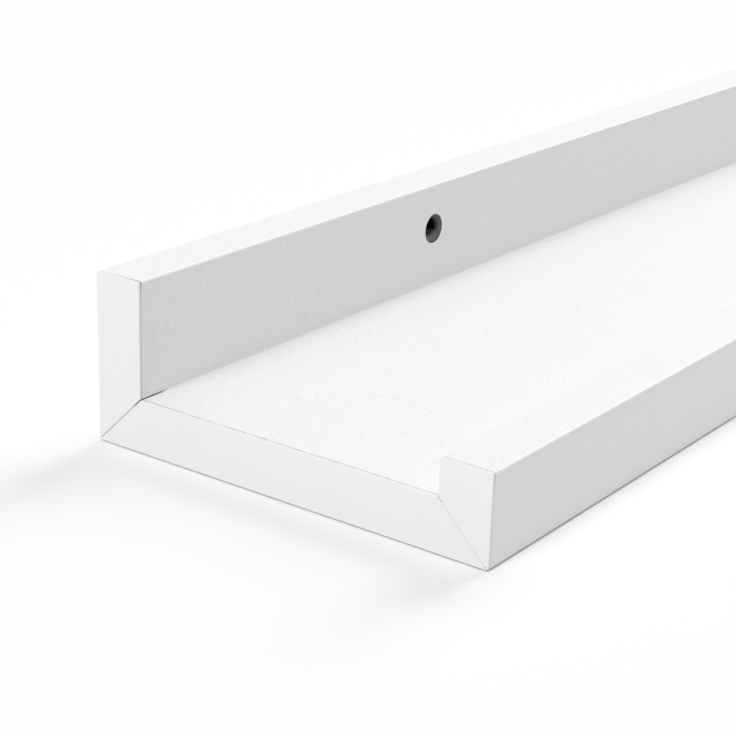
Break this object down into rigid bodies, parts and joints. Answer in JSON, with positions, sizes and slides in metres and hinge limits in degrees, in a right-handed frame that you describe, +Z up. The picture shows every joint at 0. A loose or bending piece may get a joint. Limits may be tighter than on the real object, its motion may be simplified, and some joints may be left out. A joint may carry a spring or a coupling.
{
  "type": "floating wall shelf",
  "caption": "Long white picture ledge: tall back board, flat base and low front lip with mitred corners, screwed to a wall through countersunk holes.",
  "frame": {"origin": "on the underside, under the middle of the shelf's length and depth", "axes": "+X along the shelf, +Y towards the wall, +Z up"},
  "size_m": [0.6, 0.1, 0.038],
  "materials": {
    "fibreboard": "raw machined fibreboard",
    "white_foil": "white foil with a fine orange-peel texture",
    "edge_band": "smooth satin white edge band",
    "glue": "set glue"
  },
  "bodies": {
    "root": {"back_board": "fibreboard", "base_board": "fibreboard", "front_lip": "fibreboard", "back_wrap": "white_foil", "front_lip_wrap": "white_foil", "underside_wrap": "white_foil", "base_top_facing": "white_foil", "back_mitre_glue": "glue", "front_mitre_glue": "glue", "left_back_band": "edge_band", "left_base_band": "edge_band", "left_lip_band": "edge_band", "right_back_band": "edge_band", "right_base_band": "edge_band", "right_lip_band": "edge_band", "left_back_band_glue": "glue", "left_base_band_glue": "glue", "left_lip_band_glue": "glue", "right_back_band_glue": "glue", "right_base_band_glue": "glue", "right_lip_band_glue": "glue"}
  },
  "joints": []
}
